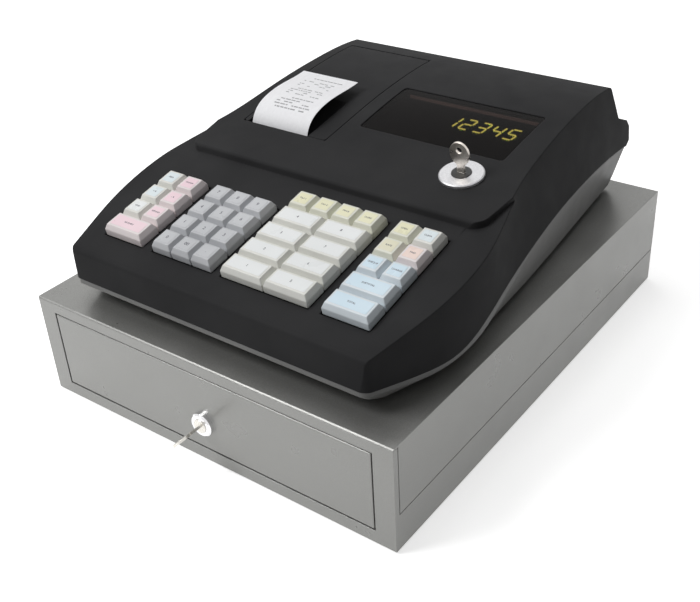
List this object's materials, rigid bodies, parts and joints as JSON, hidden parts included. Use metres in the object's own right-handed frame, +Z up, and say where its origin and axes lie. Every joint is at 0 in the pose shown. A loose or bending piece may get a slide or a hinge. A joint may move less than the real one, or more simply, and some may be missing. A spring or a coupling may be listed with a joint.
{
  "type": "cash register on cash drawer",
  "caption": "Electronic cash register with sloping keyboard, receipt printer, display and key switch, standing on a lockable steel cash drawer.",
  "frame": {"origin": "centre of the object's footprint box on the plane its feet rest on", "axes": "+Z up, -Y towards the person at the keyboard, where the drawer opens, +X to that person's right"},
  "size_m": [0.33, 0.441, 0.1981],
  "materials": {
    "cabinet_paint": "satin silver-grey paint on sheet steel",
    "drawer_paint": "satin grey paint",
    "feet_rubber": "moulded rubber",
    "till_plastic": "textured moulding",
    "lock_chrome": "polished",
    "key_steel": "nickel plated",
    "latch_steel": "zinc plated",
    "tub_plastic": "fine textured moulding",
    "cover_plastic": "fine textured moulding",
    "window_lens": "smoked clear acrylic",
    "board": "printed circuit boards with parts",
    "mode_ring": "satin silver",
    "mode_key_steel": "nickel plated",
    "printer_frame": "moulded frame",
    "platen_rubber": "ground rubber",
    "paper": "plain receipt paper",
    "key_white": "off-white caps",
    "key_grey": "light grey caps",
    "key_yellow": "pale yellow caps",
    "key_pink": "pale pink caps",
    "key_blue": "pale blue caps"
  },
  "bodies": {
    "cabinet": {"cabinet_cover": "cabinet_paint", "cabinet_chassis": "cabinet_paint", "rubber_feet": "feet_rubber", "drawer_latch": "latch_steel", "base_tub": "tub_plastic", "top_cover": "cover_plastic", "display_windows": "window_lens", "circuit_boards": "board", "mode_lock": "mode_ring", "printer_mechanism": "printer_frame"},
    "drawer": {"drawer_tray": "drawer_paint", "drawer_front": "cabinet_paint", "till_insert": "till_plastic", "drawer_lock": "lock_chrome"},
    "drawer_key": {"drawer_key": "key_steel"},
    "latch_hook": {"latch_hook": "latch_steel"},
    "mode_key": {"mode_key": "mode_key_steel"},
    "printer_cover": {"printer_cover": "cover_plastic", "receipt_paper": "paper"},
    "paper_roll": {"paper_roll": "paper"},
    "platen_roller": {"platen_roller": "platen_rubber"},
    "key_received": {"key_received": "key_pink"},
    "key_void": {"key_void": "key_white"},
    "key_refund": {"key_refund": "key_pink"},
    "key_plus_percent": {"key_plus_percent": "key_white"},
    "key_minus_percent": {"key_minus_percent": "key_pink"},
    "key_paper_feed": {"key_paper_feed": "key_white"},
    "key_receipt_on_off": {"key_receipt_on_off": "key_pink"},
    "key_0": {"key_0": "key_grey"},
    "key_00": {"key_00": "key_grey"},
    "key_point": {"key_point": "key_grey"},
    "key_1": {"key_1": "key_grey"},
    "key_2": {"key_2": "key_grey"},
    "key_3": {"key_3": "key_grey"},
    "key_4": {"key_4": "key_grey"},
    "key_5": {"key_5": "key_grey"},
    "key_6": {"key_6": "key_grey"},
    "key_7": {"key_7": "key_grey"},
    "key_8": {"key_8": "key_grey"},
    "key_9": {"key_9": "key_grey"},
    "key_department_1": {"key_department_1": "key_white"},
    "key_department_5": {"key_department_5": "key_white"},
    "key_department_2": {"key_department_2": "key_white"},
    "key_department_6": {"key_department_6": "key_white"},
    "key_department_3": {"key_department_3": "key_white"},
    "key_department_7": {"key_department_7": "key_white"},
    "key_department_4": {"key_department_4": "key_white"},
    "key_department_8": {"key_department_8": "key_white"},
    "key_tax_1": {"key_tax_1": "key_yellow"},
    "key_tax_2": {"key_tax_2": "key_yellow"},
    "key_price_look_up": {"key_price_look_up": "key_yellow"},
    "key_clerk": {"key_clerk": "key_yellow"},
    "key_cash_total": {"key_cash_total": "key_blue"},
    "key_subtotal": {"key_subtotal": "key_blue"},
    "key_cheque": {"key_cheque": "key_blue"},
    "key_charge": {"key_charge": "key_blue"},
    "key_currency": {"key_currency": "key_yellow"},
    "key_paid_out": {"key_paid_out": "key_pink"},
    "key_no_sale": {"key_no_sale": "key_yellow"},
    "key_clear": {"key_clear": "key_white"}
  },
  "joints": [
    {"name": "drawer_slide", "type": "slide", "parent": "cabinet", "child": "drawer", "axis": [0, -1, 0], "range_m": [0, 0.285]},
    {"name": "drawer_key_turn", "type": "hinge", "parent": "drawer", "child": "drawer_key", "pos_m": [0, -0.1905, 0.036], "axis": [0, 1, 0], "range_deg": [-45, 45]},
    {"name": "latch_hook_pivot", "type": "hinge", "parent": "cabinet", "child": "latch_hook", "pos_m": [0, 0.1955, 0.013], "axis": [-1, 0, 0], "range_deg": [0, 12]},
    {"name": "mode_key_turn", "type": "hinge", "parent": "cabinet", "child": "mode_key", "pos_m": [0.092, 0.008, 0.16989], "axis": [0, -0.1613, 0.9869], "range_deg": [-60, 120]},
    {"name": "printer_cover_hinge", "type": "hinge", "parent": "cabinet", "child": "printer_cover", "pos_m": [-0.075, 0.156, 0.1826], "axis": [-1, 0, 0], "range_deg": [0, 70]},
    {"name": "paper_roll_spin", "type": "hinge", "parent": "cabinet", "child": "paper_roll", "pos_m": [-0.0813, 0.0995, 0.141], "axis": [1, 0, 0], "continuous": true},
    {"name": "platen_spin", "type": "hinge", "parent": "cabinet", "child": "platen_roller", "pos_m": [-0.0813, 0.0165, 0.1475], "axis": [1, 0, 0], "continuous": true},
    {"name": "key_received_press", "type": "slide", "parent": "cabinet", "child": "key_received", "axis": [0, 0.1996, -0.9799], "range_m": [0, 0.003], "stiffness_N_per_m": 200, "springref_m": -0.001},
    {"name": "key_void_press", "type": "slide", "parent": "cabinet", "child": "key_void", "axis": [0, 0.1996, -0.9799], "range_m": [0, 0.003], "stiffness_N_per_m": 200, "springref_m": -0.001},
    {"name": "key_refund_press", "type": "slide", "parent": "cabinet", "child": "key_refund", "axis": [0, 0.1996, -0.9799], "range_m": [0, 0.003], "stiffness_N_per_m": 200, "springref_m": -0.001},
    {"name": "key_plus_percent_press", "type": "slide", "parent": "cabinet", "child": "key_plus_percent", "axis": [0, 0.1996, -0.9799], "range_m": [0, 0.003], "stiffness_N_per_m": 200, "springref_m": -0.001},
    {"name": "key_minus_percent_press", "type": "slide", "parent": "cabinet", "child": "key_minus_percent", "axis": [0, 0.1996, -0.9799], "range_m": [0, 0.003], "stiffness_N_per_m": 200, "springref_m": -0.001},
    {"name": "key_paper_feed_press", "type": "slide", "parent": "cabinet", "child": "key_paper_feed", "axis": [0, 0.1996, -0.9799], "range_m": [0, 0.003], "stiffness_N_per_m": 200, "springref_m": -0.001},
    {"name": "key_receipt_on_off_press", "type": "slide", "parent": "cabinet", "child": "key_receipt_on_off", "axis": [0, 0.1996, -0.9799], "range_m": [0, 0.003], "stiffness_N_per_m": 200, "springref_m": -0.001},
    {"name": "key_0_press", "type": "slide", "parent": "cabinet", "child": "key_0", "axis": [0, 0.1996, -0.9799], "range_m": [0, 0.003], "stiffness_N_per_m": 200, "springref_m": -0.001},
    {"name": "key_00_press", "type": "slide", "parent": "cabinet", "child": "key_00", "axis": [0, 0.1996, -0.9799], "range_m": [0, 0.003], "stiffness_N_per_m": 200, "springref_m": -0.001},
    {"name": "key_point_press", "type": "slide", "parent": "cabinet", "child": "key_point", "axis": [0, 0.1996, -0.9799], "range_m": [0, 0.003], "stiffness_N_per_m": 200, "springref_m": -0.001},
    {"name": "key_1_press", "type": "slide", "parent": "cabinet", "child": "key_1", "axis": [0, 0.1996, -0.9799], "range_m": [0, 0.003], "stiffness_N_per_m": 200, "springref_m": -0.001},
    {"name": "key_2_press", "type": "slide", "parent": "cabinet", "child": "key_2", "axis": [0, 0.1996, -0.9799], "range_m": [0, 0.003], "stiffness_N_per_m": 200, "springref_m": -0.001},
    {"name": "key_3_press", "type": "slide", "parent": "cabinet", "child": "key_3", "axis": [0, 0.1996, -0.9799], "range_m": [0, 0.003], "stiffness_N_per_m": 200, "springref_m": -0.001},
    {"name": "key_4_press", "type": "slide", "parent": "cabinet", "child": "key_4", "axis": [0, 0.1996, -0.9799], "range_m": [0, 0.003], "stiffness_N_per_m": 200, "springref_m": -0.001},
    {"name": "key_5_press", "type": "slide", "parent": "cabinet", "child": "key_5", "axis": [0, 0.1996, -0.9799], "range_m": [0, 0.003], "stiffness_N_per_m": 200, "springref_m": -0.001},
    {"name": "key_6_press", "type": "slide", "parent": "cabinet", "child": "key_6", "axis": [0, 0.1996, -0.9799], "range_m": [0, 0.003], "stiffness_N_per_m": 200, "springref_m": -0.001},
    {"name": "key_7_press", "type": "slide", "parent": "cabinet", "child": "key_7", "axis": [0, 0.1996, -0.9799], "range_m": [0, 0.003], "stiffness_N_per_m": 200, "springref_m": -0.001},
    {"name": "key_8_press", "type": "slide", "parent": "cabinet", "child": "key_8", "axis": [0, 0.1996, -0.9799], "range_m": [0, 0.003], "stiffness_N_per_m": 200, "springref_m": -0.001},
    {"name": "key_9_press", "type": "slide", "parent": "cabinet", "child": "key_9", "axis": [0, 0.1996, -0.9799], "range_m": [0, 0.003], "stiffness_N_per_m": 200, "springref_m": -0.001},
    {"name": "key_department_1_press", "type": "slide", "parent": "cabinet", "child": "key_department_1", "axis": [0, 0.1996, -0.9799], "range_m": [0, 0.003], "stiffness_N_per_m": 200, "springref_m": -0.001},
    {"name": "key_department_5_press", "type": "slide", "parent": "cabinet", "child": "key_department_5", "axis": [0, 0.1996, -0.9799], "range_m": [0, 0.003], "stiffness_N_per_m": 200, "springref_m": -0.001},
    {"name": "key_department_2_press", "type": "slide", "parent": "cabinet", "child": "key_department_2", "axis": [0, 0.1996, -0.9799], "range_m": [0, 0.003], "stiffness_N_per_m": 200, "springref_m": -0.001},
    {"name": "key_department_6_press", "type": "slide", "parent": "cabinet", "child": "key_department_6", "axis": [0, 0.1996, -0.9799], "range_m": [0, 0.003], "stiffness_N_per_m": 200, "springref_m": -0.001},
    {"name": "key_department_3_press", "type": "slide", "parent": "cabinet", "child": "key_department_3", "axis": [0, 0.1996, -0.9799], "range_m": [0, 0.003], "stiffness_N_per_m": 200, "springref_m": -0.001},
    {"name": "key_department_7_press", "type": "slide", "parent": "cabinet", "child": "key_department_7", "axis": [0, 0.1996, -0.9799], "range_m": [0, 0.003], "stiffness_N_per_m": 200, "springref_m": -0.001},
    {"name": "key_department_4_press", "type": "slide", "parent": "cabinet", "child": "key_department_4", "axis": [0, 0.1996, -0.9799], "range_m": [0, 0.003], "stiffness_N_per_m": 200, "springref_m": -0.001},
    {"name": "key_department_8_press", "type": "slide", "parent": "cabinet", "child": "key_department_8", "axis": [0, 0.1996, -0.9799], "range_m": [0, 0.003], "stiffness_N_per_m": 200, "springref_m": -0.001},
    {"name": "key_tax_1_press", "type": "slide", "parent": "cabinet", "child": "key_tax_1", "axis": [0, 0.1996, -0.9799], "range_m": [0, 0.003], "stiffness_N_per_m": 200, "springref_m": -0.001},
    {"name": "key_tax_2_press", "type": "slide", "parent": "cabinet", "child": "key_tax_2", "axis": [0, 0.1996, -0.9799], "range_m": [0, 0.003], "stiffness_N_per_m": 200, "springref_m": -0.001},
    {"name": "key_price_look_up_press", "type": "slide", "parent": "cabinet", "child": "key_price_look_up", "axis": [0, 0.1996, -0.9799], "range_m": [0, 0.003], "stiffness_N_per_m": 200, "springref_m": -0.001},
    {"name": "key_clerk_press", "type": "slide", "parent": "cabinet", "child": "key_clerk", "axis": [0, 0.1996, -0.9799], "range_m": [0, 0.003], "stiffness_N_per_m": 200, "springref_m": -0.001},
    {"name": "key_cash_total_press", "type": "slide", "parent": "cabinet", "child": "key_cash_total", "axis": [0, 0.1996, -0.9799], "range_m": [0, 0.003], "stiffness_N_per_m": 200, "springref_m": -0.001},
    {"name": "key_subtotal_press", "type": "slide", "parent": "cabinet", "child": "key_subtotal", "axis": [0, 0.1996, -0.9799], "range_m": [0, 0.003], "stiffness_N_per_m": 200, "springref_m": -0.001},
    {"name": "key_cheque_press", "type": "slide", "parent": "cabinet", "child": "key_cheque", "axis": [0, 0.1996, -0.9799], "range_m": [0, 0.003], "stiffness_N_per_m": 200, "springref_m": -0.001},
    {"name": "key_charge_press", "type": "slide", "parent": "cabinet", "child": "key_charge", "axis": [0, 0.1996, -0.9799], "range_m": [0, 0.003], "stiffness_N_per_m": 200, "springref_m": -0.001},
    {"name": "key_currency_press", "type": "slide", "parent": "cabinet", "child": "key_currency", "axis": [0, 0.1996, -0.9799], "range_m": [0, 0.003], "stiffness_N_per_m": 200, "springref_m": -0.001},
    {"name": "key_paid_out_press", "type": "slide", "parent": "cabinet", "child": "key_paid_out", "axis": [0, 0.1996, -0.9799], "range_m": [0, 0.003], "stiffness_N_per_m": 200, "springref_m": -0.001},
    {"name": "key_no_sale_press", "type": "slide", "parent": "cabinet", "child": "key_no_sale", "axis": [0, 0.1996, -0.9799], "range_m": [0, 0.003], "stiffness_N_per_m": 200, "springref_m": -0.001},
    {"name": "key_clear_press", "type": "slide", "parent": "cabinet", "child": "key_clear", "axis": [0, 0.1996, -0.9799], "range_m": [0, 0.003], "stiffness_N_per_m": 200, "springref_m": -0.001}
  ],
  "couplings": [
    {"joint": "platen_spin", "follows": "paper_roll_spin", "ratio": 4.5}
  ]
}
